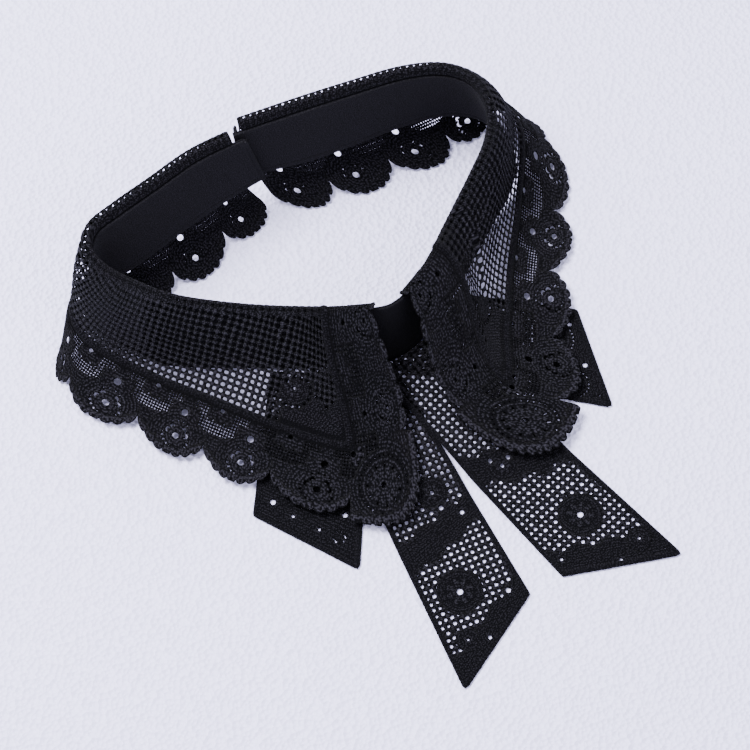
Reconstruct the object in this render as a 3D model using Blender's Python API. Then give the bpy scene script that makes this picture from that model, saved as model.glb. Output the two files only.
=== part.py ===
"""A detachable lace collar: a plain neck band, two scalloped lace falls turned down over it,
and four short ribbons sewn to the foot of the band at the front.

Sizes are in millimetres until a mesh is made, which is in metres. +Z is up and the front is -Y.
The band and the falls are surfaces through a short table of sections; each wall is that surface
with half its thickness added on either side.
"""
import math

import bpy
import bmesh
import numpy as np

MM = 0.001
CENTRE = np.array([11.76, -14.35, 0.0])   # middle of the whole collar's box, in the tables' frame

SEAM_GAP = 0.3          # clearance between neighbouring pieces
TOP_GAP = 0.5           # the same at the band's top, where both pieces bend
BAND_CLOTH = 1.0        # each of the two layers of the neck band
NET_CLOTH = 1.2         # net panels and scalloped borders
RIBBON_CLOTH = 1.0
RIBBON_EDGING = 1.1     # thickness of the narrow bound edge
EDGING_WIDTH = 2.2
EDGING_LIFT = 0.1       # underside of the bound edge above the panel's underside
ROLL_RADIUS = 1.9       # turn of the fall over the top of the band
ROLL_RISE = 1.7         # straight net between the band's top seam and the turn
CORD_RADIUS = 1.0       # plain raised cord between net and border
CORD_SIDES = 6

NOTCH = 0.72            # a notch between scallops reaches this share of the border's width
LOBES = 8               # small lobes round one scallop
LOBE_DEPTH = 0.035      # share of the border's width
LOBE_LEVEL = 0.6        # height of a lobe's sine that lies on the scallop's arch
STEPS_A_LOBE = 2
POINT_POWER = 3.5       # how square the fall's point is: 2 is round
FRONT_WIDTH = 1.0       # reach of the front edge's scallops, of the last row
FRONT_DEPTH = 0.45      # depth of those scallops, of the hem's
SEAM_START = 0.06       # where the seam's slope is read, past the seam itself
FLATTEN = 0.25          # slope kept by the border where it comes down to its tips
RING_STEP = 0.05        # small steps for directions along the tables
SMALL_STEP = 0.02

BAND_STATIONS = 67      # sections of the meshes
NET_STATIONS = 34
CORD_STATIONS = 55

# Neck ring, from the left end at centre back, round the front, to the right end.
# crown x, y, z: top of the turned fall; foot x, y, z: bottom edge of the band, middle of its wall
RING = np.array([
    # crown                foot
    (11.4, 89.2, 49.2, 15.4, 82.2, 19.6),    # 0 left end of the band, lapped inside
    (8.3, 90.6, 50.0, 10.6, 83.4, 19.5),     # 1 left fall starts
    (-9.0, 94.0, 50.0, -8.5, 84.8, 19.2),    # 2
    (-27.3, 94.2, 50.0, -28.5, 85.0, 18.6),  # 3
    (-43.0, 94.8, 49.2, -45.0, 85.4, 17.4),  # 4
    (-54.0, 94.6, 47.8, -58.0, 87.2, 15.8),  # 5 left corner
    (-60.2, 89.6, 45.2, -66.8, 83.8, 13.4),  # 6 left corner
    (-59.6, 80.5, 42.2, -69.6, 75.8, 10.0),  # 7
    (-54.6, 69.4, 40.0, -65.4, 64.0, 6.6),   # 8
    (-46.6, 56.4, 38.0, -55.5, 50.5, 3.2),   # 9
    (-30.4, 39.4, 36.0, -35.8, 34.0, 1.3),   # 10
    (-14.3, 25.0, 35.0, -18.6, 19.8, 0.9),   # 11
    (0.0, 14.1, 34.0, -3.4, 9.0, 0.9),       # 12
    (10.8, 7.6, 33.3, 8.3, 1.6, 0.9),        # 13 left fall ends
    (17.2, 6.4, 33.0, 17.2, 0.0, 0.9),       # 14 centre front
    (23.5, 7.4, 33.0, 25.6, 1.3, 0.9),       # 15 right fall ends
    (35.1, 10.7, 33.0, 37.4, 4.4, 0.9),      # 16
    (47.0, 16.2, 34.0, 49.8, 9.8, 0.9),      # 17
    (58.6, 21.3, 36.0, 61.7, 14.6, 1.2),     # 18
    (70.3, 26.5, 38.0, 73.6, 19.6, 2.2),     # 19
    (80.3, 31.5, 40.0, 85.6, 24.2, 4.4),     # 20
    (87.6, 37.6, 42.0, 95.2, 31.2, 7.8),     # 21
    (92.0, 46.0, 44.6, 98.6, 41.8, 11.4),    # 22 right corner
    (91.4, 55.2, 47.2, 95.6, 52.0, 14.8),    # 23 right corner
    (85.0, 64.0, 49.0, 86.6, 60.0, 17.0),    # 24
    (72.0, 71.4, 50.7, 71.4, 66.4, 18.4),    # 25
    (54.0, 78.7, 50.4, 51.2, 72.0, 19.2),    # 26
    (35.6, 85.6, 50.0, 32.8, 77.6, 19.6),    # 27
    (12.6, 93.2, 50.0, 12.6, 86.7, 19.8),    # 28 right fall starts
    (9.4, 94.2, 50.0, 9.6, 87.8, 19.8),      # 29 right end of the band, lapped outside
])

# A fall's sections, one for each notch of its hem, from centre back to the front edge.
# ring: place on the neck ring; cord x, y, z: seam of net and border; tip x, y, z: line through
# the scallops' tips; belly: how far the net bows out; curl: how far the border bows
LEFT_FALL = np.array([
    # ring   cord                  tip                  belly  curl
    (1.15, 7.0, 89.2, 21.0, 16.8, 76.0, 0.9, 0.5, 2.0),
    (2.0, -8.0, 88.9, 21.0, -7.0, 73.0, 0.9, 0.5, 2.5),
    (3.2, -31.5, 89.0, 20.5, -33.0, 71.5, 0.9, 0.5, 2.5),
    (4.6, -53.0, 91.0, 19.5, -57.0, 77.0, 0.9, 0.5, 2.5),
    (6.0, -70.0, 90.4, 16.5, -80.0, 84.0, 0.9, 0.6, 2.0),
    (7.7, -75.2, 76.5, 10.4, -94.2, 67.0, 1.6, 0.6, 1.0),
    (8.9, -65.5, 51.5, 6.8, -84.8, 37.0, 3.2, 0.5, 0.6),
    (9.8, -53.7, 29.0, 5.4, -74.0, 11.5, 3.4, 0.0, 0.6),
    (10.6, -41.5, 5.5, 4.6, -62.0, -12.0, 3.6, -0.5, 0.6),
    (11.45, -26.5, -17.5, 5.2, -45.5, -40.5, 4.4, -0.6, 0.6),
    (12.7, -5.4, -27.8, 7.6, -26.5, -61.0, 5.0, -0.6, 0.6),
])
RIGHT_FALL = np.array([
    (28.0, 14.6, 91.6, 21.0, 18.6, 73.5, 0.9, 0.5, 2.5),
    (27.0, 36.0, 82.3, 21.0, 38.2, 62.8, 0.9, 0.5, 2.5),
    (25.8, 58.0, 74.8, 20.5, 62.5, 56.0, 0.9, 0.5, 2.5),
    (24.5, 81.5, 69.0, 19.5, 86.5, 50.0, 0.9, 0.5, 2.5),
    (23.3, 102.0, 60.5, 17.0, 110.0, 53.0, 0.9, 0.8, 3.0),
    (22.0, 106.5, 41.0, 12.0, 116.4, 30.4, 1.2, 0.8, 2.0),
    (20.2, 86.8, 18.6, 6.5, 100.8, 3.0, 2.0, 0.5, 0.6),
    (19.0, 66.5, 0.0, 5.3, 83.2, -14.6, 3.2, 0.0, 0.6),
    (17.8, 47.5, -19.5, 5.3, 65.4, -37.2, 4.0, -0.5, 0.6),
    (16.5, 33.5, -34.4, 6.0, 48.3, -60.0, 5.0, -1.0, 0.6),
    (14.2, 10.0, -33.0, 7.8, 20.0, -72.5, 5.2, -0.6, 0.6),
])
CROWN, FOOT = slice(0, 3), slice(3, 6)
RING_PLACE, CORD, TIP, BELLY, CURL = 0, slice(1, 4), slice(4, 7), 7, 8
POINT_ROW = 9           # the row whose line is the front cord, one before the front edge

# Ribbons: ring places where the top is sewn on; end corner beside the first place, then the
# other; underside height at the top; shares of the length where it comes down to rest
RIBBONS = {
    #             from   to     end corner        end corner       lift  leaves rests
    "wing_left": (10.45, 12.45, (-69.7, -14.4), (-53.7, -55.6), 0.0, 0.40, 0.50),
    "wing_right": (12.6, 16.6, (58.2, -66.4), (74.7, -27.6), 0.0, 0.40, 0.50),
    "tail_left": (11.15, 12.95, (-54.7, -114.4), (-13.1, -101.6), 1.5, 0.44, 0.60),
    "tail_right": (12.3, 15.3, (0.0, -104.1), (38.9, -125.8), 3.0, 0.38, 0.58),
}
RIBBON_ACROSS, RIBBON_ALONG = 5, 9

# Colours in linear light, from the black thread and the plain black band
COLOURS = {
    "band": ((0.011, 0.011, 0.014), 0.78),
    "lining": ((0.014, 0.013, 0.018), 0.82),
    "net": ((0.012, 0.012, 0.015), 0.70),
    "border": ((0.010, 0.010, 0.013), 0.66),
    "cord": ((0.009, 0.009, 0.012), 0.60),
    "ribbon": ((0.012, 0.012, 0.015), 0.70),
    "edging": ((0.009, 0.009, 0.012), 0.62),
}


def clear_scene():
    """Take out whatever objects the file opened with."""
    for thing in list(bpy.data.objects):
        bpy.data.objects.remove(thing, do_unlink=True)


def unit(v):
    """Vectors of length one, along the last axis."""
    return v / np.maximum(np.linalg.norm(v, axis=-1, keepdims=True), 1e-9)


def through(table, place):
    """Catmull-Rom curve through a table's rows: the row numbers are the parameter."""
    place = np.clip(np.asarray(place, float), 0.0, len(table) - 1.0)
    padded = np.vstack([2 * table[0] - table[1], table, 2 * table[-1] - table[-2]])
    first = np.minimum(place.astype(int), len(table) - 2)
    t = (place - first)[..., None]
    a, b, c, d = (padded[first + k] for k in range(4))
    return 0.5 * (2 * b + (c - a) * t + (2 * a - 5 * b + 4 * c - d) * t ** 2
                  + (3 * b - a - 3 * c + d) * t ** 3)


def ring_frame(place):
    """Crown, foot, outward and upward directions of the neck ring at ring places."""
    at = through(RING, place)
    crown, foot = at[..., CROWN], at[..., FOOT]
    along = (through(RING, place + RING_STEP) - through(RING, place - RING_STEP))[..., CROWN]
    along[..., 2] = 0.0
    along = unit(along)
    out = np.stack([along[..., 1], -along[..., 0], np.zeros_like(along[..., 0])], -1)
    up = unit(crown - ROLL_RADIUS * out - foot)
    return crown, foot, out, up


def band_point(place, height, depth):
    """Point of the band: height 0 at the foot to 1 at the top, depth outward from mid wall."""
    crown, foot, out, up = ring_frame(place)
    top = crown - ROLL_RADIUS * out - (ROLL_RADIUS + ROLL_RISE + TOP_GAP) * up
    height = height[..., None]
    along = unit(np.cross(up, out))
    face = unit(np.cross(along, up))
    face = face * np.sign(np.sum(face * out, -1, keepdims=True))
    return foot * (1 - height) + top * height + depth[..., None] * face


def bezier(a, b, c, d, t):
    """Cubic Bezier curve with control points a, b, c, d."""
    s = 1 - t
    return s ** 3 * a + 3 * s ** 2 * t * b + 3 * s * t ** 2 * c + t ** 3 * d


def fall_point(table, place, down):
    """Middle surface of a fall.

    place is the row along the hem. down is 0 at the top seam, 1 where the turn ends,
    2 at the cord and 3 at the scallops' tips. The turn is a straight rise and an arc about
    the band's top; the net and the border are Bezier curves that meet smoothly at the cord.
    """
    place, down = np.broadcast_arrays(np.asarray(place, float), np.asarray(down, float))
    row = through(table, place)
    crown, foot, out, up = ring_frame(row[..., RING_PLACE])
    cord, tip = row[..., CORD], row[..., TIP]
    belly, curl = row[..., BELLY, None], row[..., CURL, None]
    fall = cord - crown
    lean = np.arctan2(-np.sum(fall * up, -1), np.sum(fall * out, -1))
    last = (math.pi / 2 - lean)[..., None]
    centre = crown - ROLL_RADIUS * up
    rise_share = ROLL_RISE / (ROLL_RISE + ROLL_RADIUS * (math.pi - last))
    t = down[..., None]
    angle = math.pi - (math.pi - last) * np.clip((t - rise_share) / (1 - rise_share), 0, 1)
    turn = centre + ROLL_RADIUS * (np.cos(angle) * out + np.sin(angle) * up)
    turn = turn - ROLL_RISE * np.clip(1 - t / rise_share, 0, 1) * up
    start = centre + ROLL_RADIUS * (np.cos(last) * out + np.sin(last) * up)
    leave = np.sin(last) * out - np.cos(last) * up
    net_way, border_way = unit(cord - start), unit(tip - cord)
    seam_way = unit(net_way + border_way)
    net_long = np.linalg.norm(cord - start, axis=-1, keepdims=True)
    border_long = np.linalg.norm(tip - cord, axis=-1, keepdims=True)
    flat_way = unit(border_way * np.array([1.0, 1.0, FLATTEN]))
    bow = unit(up * np.sum(net_way * out, -1, keepdims=True)
               - out * np.sum(net_way * up, -1, keepdims=True))
    net = bezier(start, start + leave * net_long / 3 + bow * belly,
                 cord - seam_way * net_long / 3 + bow * belly, cord, np.clip(t - 1, 0, 1))
    border = bezier(cord, cord + seam_way * border_long / 3 + bow * curl,
                    tip - flat_way * border_long / 3, tip, np.clip(t - 2, 0, 1))
    return np.where(t < 1, turn, np.where(t < 2, net, border))


def fall_normal(table, place, down):
    """Unit normal of the fall, away from the band, from small steps either way."""
    step = SMALL_STEP
    rows = len(table) - 1.0
    along = (fall_point(table, np.minimum(place + step, rows), down)
             - fall_point(table, np.maximum(place - step, 0.0), down))
    across = (fall_point(table, place, np.minimum(down + step, 3.0))
              - fall_point(table, place, np.maximum(down - step, 0.0)))
    normal = unit(np.cross(along, across))
    return normal if table is LEFT_FALL else -normal


def finish(name, points, faces, colour):
    """Make one object from points in millimetres and its faces, with its material."""
    mesh = bpy.data.meshes.new(name)
    mesh.from_pydata(((points - CENTRE) * MM).tolist(), [], faces)
    shell = bmesh.new()
    shell.from_mesh(mesh)
    bmesh.ops.recalc_face_normals(shell, faces=shell.faces)
    bmesh.ops.triangulate(shell, faces=shell.faces)
    shell.to_mesh(mesh)
    shell.free()
    mesh.materials.append(material(name, colour))
    thing = bpy.data.objects.new(name, mesh)
    bpy.context.scene.collection.objects.link(thing)
    return thing


def material(name, colour):
    """Principled cloth material of one node."""
    paint = bpy.data.materials.new(name)
    paint.use_nodes = True
    shader = paint.node_tree.nodes["Principled BSDF"]
    rgb, roughness = COLOURS[colour]
    shader.inputs["Base Color"].default_value = (*rgb, 1.0)
    shader.inputs["Roughness"].default_value = roughness
    shader.inputs["Metallic"].default_value = 0.0
    return paint


def wall(name, upper, lower, colour):
    """Closed wall between two grids of points of the same shape."""
    rows, columns = upper.shape[:2]
    number = np.arange(rows * columns).reshape(rows, columns)
    under = number + rows * columns
    faces = []
    for i in range(rows - 1):
        for j in range(columns - 1):
            corners = (i, j), (i, j + 1), (i + 1, j + 1), (i + 1, j)
            faces.append([int(number[c]) for c in corners])
            faces.append([int(under[c]) for c in reversed(corners)])
    rim = ([(0, j) for j in range(columns)] + [(i, columns - 1) for i in range(1, rows)]
           + [(rows - 1, j) for j in range(columns - 2, -1, -1)]
           + [(i, 0) for i in range(rows - 2, 0, -1)])
    for here, there in zip(rim, rim[1:] + rim[:1]):
        faces.append([int(number[there]), int(number[here]), int(under[here]), int(under[there])])
    points = np.vstack([upper.reshape(-1, 3), lower.reshape(-1, 3)])
    return finish(name, points, faces, colour)


def tube(name, path, sides_way, radius, colour):
    """Closed round cord along a path; sides_way is a direction across it at each point."""
    along = unit(np.gradient(path, axis=0))
    across = unit(sides_way - along * np.sum(sides_way * along, -1, keepdims=True))
    third = np.cross(along, across)
    turn = 2 * math.pi * np.arange(CORD_SIDES) / CORD_SIDES
    rings = path[:, None] + radius * (np.cos(turn)[None, :, None] * across[:, None]
                                      + np.sin(turn)[None, :, None] * third[:, None])
    count = len(path)
    faces = []
    for i in range(count - 1):
        for j in range(CORD_SIDES):
            k = (j + 1) % CORD_SIDES
            faces.append([i * CORD_SIDES + j, i * CORD_SIDES + k,
                          (i + 1) * CORD_SIDES + k, (i + 1) * CORD_SIDES + j])
    faces.append(list(range(CORD_SIDES)))
    faces.append([(count - 1) * CORD_SIDES + j for j in reversed(range(CORD_SIDES))])
    return finish(name, rings.reshape(-1, 3), faces, colour)


def make_band():
    """Two layers of the neck band: the outer cloth and the lining inside it."""
    places = np.linspace(0.0, len(RING) - 1.0, BAND_STATIONS)
    heights = np.linspace(0.0, 1.0, 3)
    place, height = np.meshgrid(places, heights, indexing="ij")
    mid = (BAND_CLOTH + SEAM_GAP) / 2
    for name, centre, colour in (("band_outer", mid, "band"), ("band_lining", -mid, "lining")):
        faces = [band_point(place, height, np.full_like(place, centre + side * BAND_CLOTH / 2))
                 for side in (1, -1)]
        wall(name, faces[0], faces[1], colour)


def clearing(table, place, down, width, way):
    """Change of place (way 0) or of down (way 1) that clears a seam line by a width.

    A small step that way is measured, and its part at right angles to the seam counts.
    """
    aside, beside = (SMALL_STEP, 0.0) if way == 0 else (0.0, SMALL_STEP)
    away = fall_point(table, place, down) - fall_point(table, place - aside, down - beside)
    seam = (fall_point(table, place + beside, down + aside)
            - fall_point(table, place - beside, down - aside))
    square = np.linalg.norm(np.cross(away, unit(seam)), axis=-1)
    return width * SMALL_STEP / square


def make_net(side, table):
    """Square net panel, from the top seam over the turn to the cord, up to the front cord."""
    clear = CORD_RADIUS + SEAM_GAP
    downs = np.concatenate([np.linspace(0.0, 1.0, 7), np.linspace(1.0, 2.0, 9)[1:]])
    shares = np.linspace(0.0, 1.0, NET_STATIONS)
    share, down = np.meshgrid(shares, downs, indexing="ij")
    front = POINT_ROW - clearing(table, np.full_like(down, POINT_ROW), down, clear, 0)
    place = share * front
    trim = clearing(table, place, np.full_like(place, 2.0), clear, 1)
    down = np.where(down > 1, 1 + (down - 1) * (1 - trim), down)
    middle, normal = fall_point(table, place, down), fall_normal(table, place, down)
    wall(f"net_{side}", middle + normal * NET_CLOTH / 2, middle - normal * NET_CLOTH / 2, "net")


def lobes(phase):
    """Small lobes along an edge, one scallop's number of them as the phase rises by one."""
    return LOBE_DEPTH * (np.abs(np.sin(math.pi * LOBES * phase)) - LOBE_LEVEL)


def scallop(phase):
    """Share of the border's width at a phase that rises by one for each scallop.

    A round arch from notch to notch, with small lobes raised on it.
    """
    turn = phase % 1.0
    arch = np.sqrt(np.maximum(0.0, 1.0 - (2.0 * turn - 1.0) ** 2)) ** 0.8
    return NOTCH + (1.0 - NOTCH) * arch + lobes(turn)


def make_border(side, table):
    """Scalloped border outside the cord: along the hem, round the point and up the front."""
    per_scallop = LOBES * STEPS_A_LOBE
    clear = CORD_RADIUS + SEAM_GAP
    hem = np.linspace(0.0, POINT_ROW, POINT_ROW * per_scallop + 1)
    fan = np.linspace(0.0, 1.0, 2 * per_scallop + 1)[1:-1]
    rise = np.linspace(0.0, 1.0, 2 * per_scallop + 1)
    down_clear = clearing(table, hem, np.full_like(hem, 2.0 + SEAM_START), clear, 1)
    past_point = POINT_ROW + SEAM_START
    corner_place = clearing(table, np.array([past_point]), np.array([2.0]), clear, 0)[0]
    turn = fan * math.pi / 2
    front_down = 2.0 - rise * 2.0
    front_clear = clearing(table, np.full_like(rise, past_point), front_down, clear, 0)
    inner_place = np.concatenate([hem, POINT_ROW + corner_place * np.sin(turn),
                                  POINT_ROW + front_clear])
    inner_down = np.concatenate([2.0 + down_clear, 2.0 + down_clear[-1] * np.cos(turn), front_down])
    far = np.minimum(2 * fan, 1.0), np.maximum(2 * fan - 1.0, 0.0)
    outer_place = np.concatenate([hem, POINT_ROW + far[0], np.full_like(rise, POINT_ROW + 1.0)])
    outer_down = np.concatenate([np.full_like(hem, 3.0), 3.0 - far[1], front_down])
    point = (far[0] ** POINT_POWER + (1 - far[1]) ** POINT_POWER) ** (-1 / POINT_POWER) + lobes(2 * fan)
    front_edge = FRONT_WIDTH + FRONT_DEPTH * (scallop(2 * rise) - 1.0)
    width = np.concatenate([scallop(hem), point, front_edge])
    reach = np.linspace(0.0, 1.0, 3)[None] * np.clip(width, 0.0, 1.0)[:, None]
    place = inner_place[:, None] * (1 - reach) + outer_place[:, None] * reach
    down = inner_down[:, None] * (1 - reach) + outer_down[:, None] * reach
    middle, normal = fall_point(table, place, down), fall_normal(table, place, down)
    wall(f"border_{side}", middle + normal * NET_CLOTH / 2, middle - normal * NET_CLOTH / 2, "border")


def make_cord(side, table):
    """Plain cord over the seam of net and border, turned at the point, up to the top seam."""
    hem = np.linspace(0.0, POINT_ROW - 0.08, CORD_STATIONS)
    rise = np.linspace(1.94, 0.2, CORD_STATIONS // 3)
    turn_place = np.array([POINT_ROW - 0.035, POINT_ROW])   # rounds the cord's corner
    turn_down = np.array([2.0, 1.975])
    place = np.concatenate([hem, turn_place, np.full_like(rise, POINT_ROW)])
    down = np.concatenate([np.full_like(hem, 2.0), turn_down, rise])
    tube(f"cord_{side}", fall_point(table, place, down), fall_normal(table, place, down),
         CORD_RADIUS, "cord")


def ribbon_point(name, along, across):
    """Point on a ribbon's underside: along 0 at the band to 1 at the end, across 0 to 1."""
    start, stop, corner_a, corner_b, lift, leaves, rests = RIBBONS[name]
    along, across = np.broadcast_arrays(along, across)
    place = start + (stop - start) * across
    sewn = band_point(place, np.zeros_like(place), np.full_like(place, BAND_CLOTH + 3 * SEAM_GAP))
    end = (np.array([*corner_a, 0.0]) * (1 - across[..., None])
           + np.array([*corner_b, 0.0]) * across[..., None])
    flat = sewn * (1 - along[..., None]) + end * along[..., None]
    fade = np.clip((along - leaves) / (rests - leaves), 0.0, 1.0)
    flat[..., 2] = lift * (1 - fade * fade * (3 - 2 * fade))
    return flat


def ribbon_inset(name, width):
    """Shares of the ribbon's width and length that lie a width inside its outline.

    The first array has a row for each side and a column for the top and the end; the second
    has the share of the length at the end of each side. Slanted corners need more.
    """
    corners = ribbon_point(name, np.array([0.0, 0.0, 1.0, 1.0]), np.array([0.0, 1.0, 0.0, 1.0]))
    top, end = corners[1] - corners[0], corners[3] - corners[2]
    sides = corners[2] - corners[0], corners[3] - corners[1]
    across = np.array([[width / np.linalg.norm(np.cross(edge, unit(side))) for edge in (top, end)]
                       for side in sides])
    along = np.array([width / np.linalg.norm(np.cross(side, unit(end))) for side in sides])
    return across, along


def inside(name, width, along, across):
    """Moves ribbon coordinates from the whole outline to the outline a width inside it."""
    side_share, end_share = ribbon_inset(name, width)
    along = along * (1 - (end_share[0] * (1 - across) + end_share[1] * across))
    first, second = (share[0] * (1 - along) + share[1] * along for share in side_share)
    return along, first + across * (1 - first - second)


def make_ribbon(name):
    """A flat ribbon and its narrow bound edge round both sides and the slanted end."""
    along, across = np.meshgrid(np.linspace(0.0, 1.0, RIBBON_ALONG),
                                np.linspace(0.0, 1.0, RIBBON_ACROSS), indexing="ij")
    under = ribbon_point(name, *inside(name, EDGING_WIDTH + 2 * SEAM_GAP, along, across))
    wall(name, under + np.array([0, 0, RIBBON_CLOTH]), under, "ribbon")

    down_side = np.linspace(0.0, 1.0, RIBBON_ALONG)
    over_end = np.linspace(0.0, 1.0, RIBBON_ACROSS)[1:-1]
    along = np.concatenate([down_side, np.ones_like(over_end), down_side[::-1]])
    across = np.concatenate([np.zeros_like(down_side), over_end, np.ones_like(down_side)])
    inner = inside(name, EDGING_WIDTH, along, across)
    under = np.stack([ribbon_point(name, along, across), ribbon_point(name, *inner)], 1)
    under = under + np.array([0, 0, EDGING_LIFT])
    wall(f"edging_{name}", under + np.array([0, 0, RIBBON_EDGING]), under, "edging")


def main():
    clear_scene()
    make_band()
    for side, table in (("left", LEFT_FALL), ("right", RIGHT_FALL)):
        make_net(side, table)
        make_border(side, table)
        make_cord(side, table)
    for name in RIBBONS:
        make_ribbon(name)


main()
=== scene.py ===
# %% [markdown]
# # A black lace collar
#
# The real thing is a detachable collar: a plain standing band round the neck, a lace fall turned
# down over it on either side, and four ribbon ends sewn to its foot. Each fall is a square net,
# a plain raised cord along its edge and a scalloped border outside the cord.
#
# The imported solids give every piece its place. They are thick and have no holes, so each one is
# replaced here by a piece of real lace: a thin wall on the same surface, with its holes cut
# through and its threads raised.

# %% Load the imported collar
import math

import bpy
import numpy as np
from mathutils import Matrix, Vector


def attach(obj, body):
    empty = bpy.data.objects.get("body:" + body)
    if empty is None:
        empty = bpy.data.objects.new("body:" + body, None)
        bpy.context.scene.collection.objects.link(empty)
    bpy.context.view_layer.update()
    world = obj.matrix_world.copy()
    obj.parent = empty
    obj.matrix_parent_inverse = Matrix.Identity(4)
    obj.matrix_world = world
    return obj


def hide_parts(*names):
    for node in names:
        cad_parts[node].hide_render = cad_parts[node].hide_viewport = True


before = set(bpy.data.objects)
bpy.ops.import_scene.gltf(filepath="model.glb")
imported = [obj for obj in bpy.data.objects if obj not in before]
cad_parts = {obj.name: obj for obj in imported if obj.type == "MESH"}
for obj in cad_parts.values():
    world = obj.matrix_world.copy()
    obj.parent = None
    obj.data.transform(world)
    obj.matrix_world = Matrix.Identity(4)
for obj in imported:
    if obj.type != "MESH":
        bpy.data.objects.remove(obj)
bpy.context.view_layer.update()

# %% [markdown]
# ## Sizes
#
# All sizes are in millimetres in the tables' own frame, where the front of the collar looks along
# -Y. They become metres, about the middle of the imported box, when a mesh is made. The tables are
# the sections that the solids were made from: a few rows across each surface, which a smooth
# curve joins.

# %% Tables of sections
MM = 0.001
CENTRE = np.array([11.76, -14.35, 0.0])

BAND_CLOTH = 1.0        # each layer of the neck band
SEAM_GAP = 0.3
TOP_GAP = 0.5
ROLL_RADIUS = 1.9       # turn of the fall over the top of the band
ROLL_RISE = 1.7         # straight net between the top seam and the turn
EDGING_WIDTH = 2.2
NOTCH = 0.70            # a notch between scallops reaches this share of the border's width
LOBES = 7
LOBE_DEPTH = 0.072
GROOVE = 0.22           # how far the lace sinks beside the cord
POINT_ROW = 9           # the section on which the front cord lies
PITCH = 25.5            # one scallop of the border, along the cord
BORDER = 24.0           # the border's width at a scallop's tip
TURN_LONG = 7.7         # length of a fall's section from the top seam round the turn
FRONT_LONG = 36.0       # from there down the front cord to the corner

# crown x, y, z: top of the turned fall; foot x, y, z: bottom edge of the band, middle of its wall
RING = np.array([
    # crown                foot
    (11.4, 89.2, 49.2, 15.4, 82.2, 19.6),  # left end of the band, lapped inside
    (8.3, 90.6, 50.0, 10.6, 83.4, 19.5),
    (-9.0, 94.0, 50.0, -8.5, 84.8, 19.2),
    (-27.3, 94.2, 50.0, -28.5, 85.0, 18.6),
    (-43.0, 94.8, 49.2, -45.0, 85.4, 17.4),
    (-54.0, 94.6, 47.8, -58.0, 87.2, 15.8),  # left corner
    (-60.2, 89.6, 45.2, -66.8, 83.8, 13.4),  # left corner
    (-59.6, 80.5, 42.2, -69.6, 75.8, 10.0),
    (-54.6, 69.4, 40.0, -65.4, 64.0, 6.6),
    (-46.6, 56.4, 38.0, -55.5, 50.5, 3.2),
    (-30.4, 39.4, 36.0, -35.8, 34.0, 1.3),
    (-14.3, 25.0, 35.0, -18.6, 19.8, 0.9),
    (0.0, 14.1, 34.0, -3.4, 9.0, 0.9),
    (10.8, 7.6, 33.3, 8.3, 1.6, 0.9),  # left fall ends
    (17.2, 6.4, 33.0, 17.2, 0.0, 0.9),  # centre front
    (23.5, 7.4, 33.0, 25.6, 1.3, 0.9),  # right fall ends
    (35.1, 10.7, 33.0, 37.4, 4.4, 0.9),
    (47.0, 16.2, 34.0, 49.8, 9.8, 0.9),
    (58.6, 21.3, 36.0, 61.7, 14.6, 1.2),
    (70.3, 26.5, 38.0, 73.6, 19.6, 2.2),
    (80.3, 31.5, 40.0, 85.6, 24.2, 4.4),
    (87.6, 37.6, 42.0, 95.2, 31.2, 7.8),
    (92.0, 46.0, 44.6, 98.6, 41.8, 11.4),  # right corner
    (91.4, 55.2, 47.2, 95.6, 52.0, 14.8),  # right corner
    (85.0, 64.0, 49.0, 86.6, 60.0, 17.0),
    (72.0, 71.4, 50.7, 71.4, 66.4, 18.4),
    (54.0, 78.7, 50.4, 51.2, 72.0, 19.2),
    (35.6, 85.6, 50.0, 32.8, 77.6, 19.6),
    (12.6, 93.2, 50.0, 12.6, 86.7, 19.8),  # right fall starts
    (9.4, 94.2, 50.0, 9.6, 87.8, 19.8),  # right end of the band, lapped outside
])

# One row for each notch of the hem, from centre back to the front edge.
# ring: place on the neck ring; cord: seam of net and border; tip: line through the scallops' tips;
# belly: how far the net bows out; curl: how far the border bows
LEFT_FALL = np.array([
    # ring   cord                  tip                  belly  curl
    (1.15, 7.0, 89.2, 21.0, 16.8, 76.0, 0.9, 0.5, 2.0),
    (2.0, -8.0, 88.9, 21.0, -7.0, 73.0, 0.9, 0.5, 2.5),
    (3.2, -31.5, 89.0, 20.5, -33.0, 71.5, 0.9, 0.5, 2.5),
    (4.6, -53.0, 91.0, 19.5, -57.0, 77.0, 0.9, 0.5, 2.5),
    (6.0, -70.0, 90.4, 16.5, -80.0, 84.0, 0.9, 0.6, 2.0),
    (7.7, -75.2, 76.5, 10.4, -94.2, 67.0, 1.6, 0.6, 1.0),
    (8.9, -65.5, 51.5, 6.8, -84.8, 37.0, 3.2, 0.5, 0.6),
    (9.8, -53.7, 29.0, 5.4, -74.0, 11.5, 3.4, 0.0, 0.6),
    (10.6, -41.5, 5.5, 4.6, -62.0, -12.0, 3.6, -0.5, 0.6),
    (11.45, -26.5, -17.5, 5.2, -45.5, -40.5, 4.4, -0.6, 0.6),
    (12.7, -5.4, -27.8, 7.6, -26.5, -61.0, 5.0, -0.6, 0.6),
])
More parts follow.
